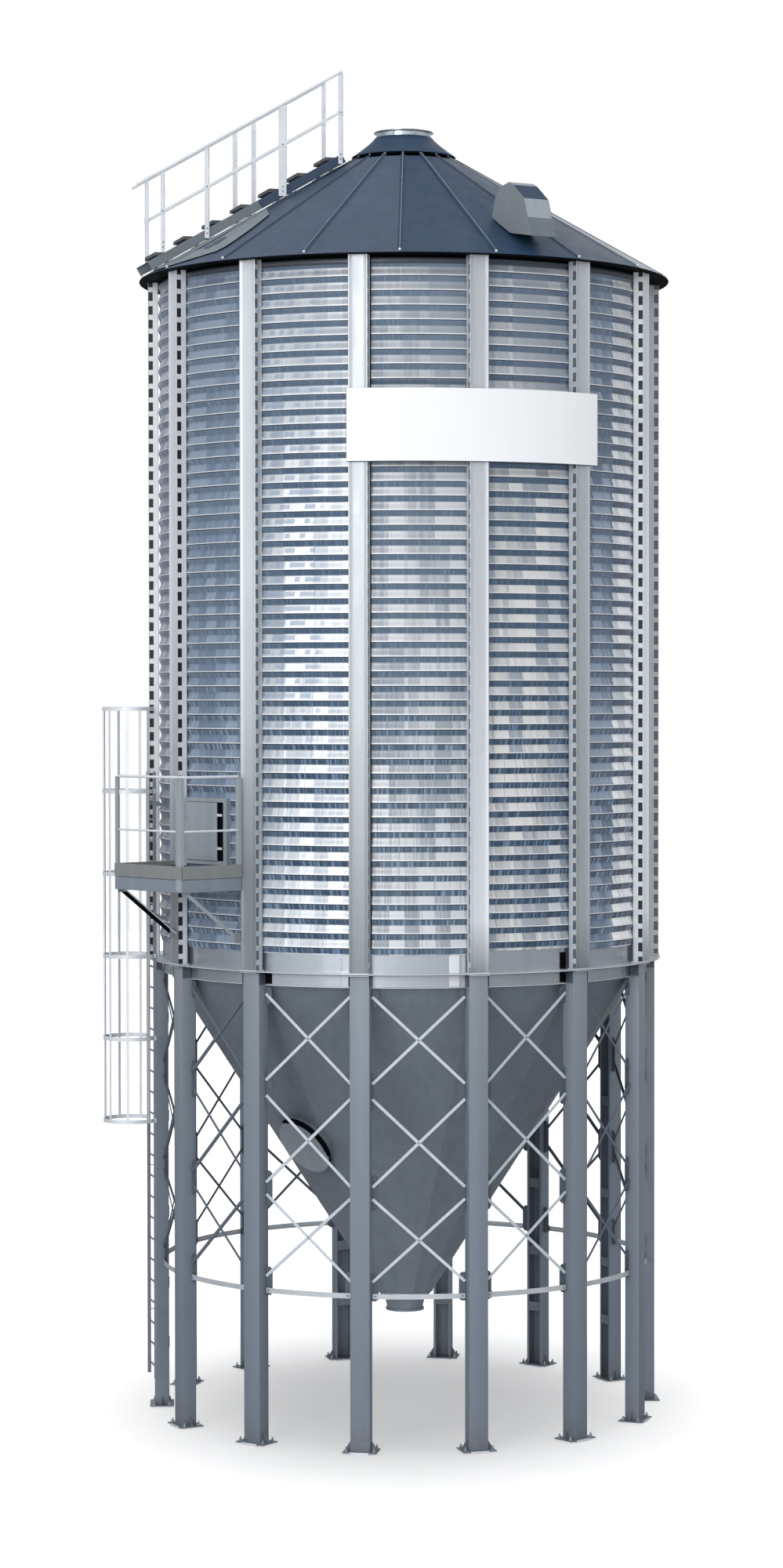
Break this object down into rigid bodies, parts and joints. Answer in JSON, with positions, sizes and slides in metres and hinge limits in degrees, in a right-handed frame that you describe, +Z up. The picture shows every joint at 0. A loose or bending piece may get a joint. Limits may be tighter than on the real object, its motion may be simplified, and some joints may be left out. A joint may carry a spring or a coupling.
{
  "type": "cone-bottom silo",
  "caption": "Cone-bottom grain silo of corrugated sheet with stiffeners, on braced legs, with a conical roof, roof stair, caged ladder and access platform.",
  "frame": {"origin": "centre of the whole object's footprint box, on the ground plane under the base plates; the silo's own axis stands at X = 0.206 m, Y = 0", "axes": "+Z up; -Y is the side with the white board, and -X the side with the ladder, the platform and the roof stair"},
  "size_m": [7.0434, 6.632, 16.6815],
  "materials": {
    "leg_steel": "satin slate paint over steel",
    "brace_steel": "hot-dip galvanised, matt",
    "corrugated_wall": "galvanised corrugated sheet, semi-gloss",
    "galvanised_band": "galvanised, semi-gloss",
    "roof_sheet": "satin dark blue-grey coating",
    "hopper_sheet": "satin slate coating",
    "grey_sheet": "satin mid-grey coating",
    "ladder_steel": "hot-dip galvanised, matt",
    "stair_tread": "dull dark grating",
    "white_board": "satin white, bare"
  },
  "bodies": {
    "root": {"leg_01": "leg_steel", "leg_02": "leg_steel", "leg_03": "leg_steel", "leg_04": "leg_steel", "leg_05": "leg_steel", "leg_06": "leg_steel", "leg_07": "leg_steel", "leg_08": "leg_steel", "leg_09": "leg_steel", "leg_10": "leg_steel", "leg_11": "leg_steel", "leg_12": "leg_steel", "leg_13": "leg_steel", "leg_14": "leg_steel", "bracing_bay_01": "brace_steel", "bracing_bay_02": "brace_steel", "bracing_bay_03": "brace_steel", "bracing_bay_04": "brace_steel", "bracing_bay_05": "brace_steel", "bracing_bay_06": "brace_steel", "bracing_bay_07": "brace_steel", "bracing_bay_08": "brace_steel", "bracing_bay_09": "brace_steel", "bracing_bay_10": "brace_steel", "bracing_bay_11": "brace_steel", "bracing_bay_12": "brace_steel", "bracing_bay_13": "brace_steel", "bracing_bay_14": "brace_steel", "wall_panel_01": "corrugated_wall", "wall_panel_02": "corrugated_wall", "wall_panel_03": "corrugated_wall", "wall_panel_04": "corrugated_wall", "wall_panel_05": "corrugated_wall", "wall_panel_06": "corrugated_wall", "wall_panel_07": "corrugated_wall", "ring_beam": "galvanised_band", "eave_ring": "roof_sheet", "roof_cone": "roof_sheet", "roof_cap": "roof_sheet", "inlet_ring": "galvanised_band", "inlet_lid": "galvanised_band", "roof_vent_hood": "grey_sheet", "roof_stair": "stair_tread", "stair_railing_near": "ladder_steel", "stair_railing_far": "ladder_steel", "hopper_cone": "hopper_sheet", "hopper_outlet": "hopper_sheet", "hatch_cover": "grey_sheet", "door_frame": "galvanised_band", "access_door": "grey_sheet", "access_platform": "grey_sheet", "platform_railing": "ladder_steel", "ladder": "ladder_steel", "ladder_cage": "ladder_steel", "sign_board": "white_board"}
  },
  "joints": []
}
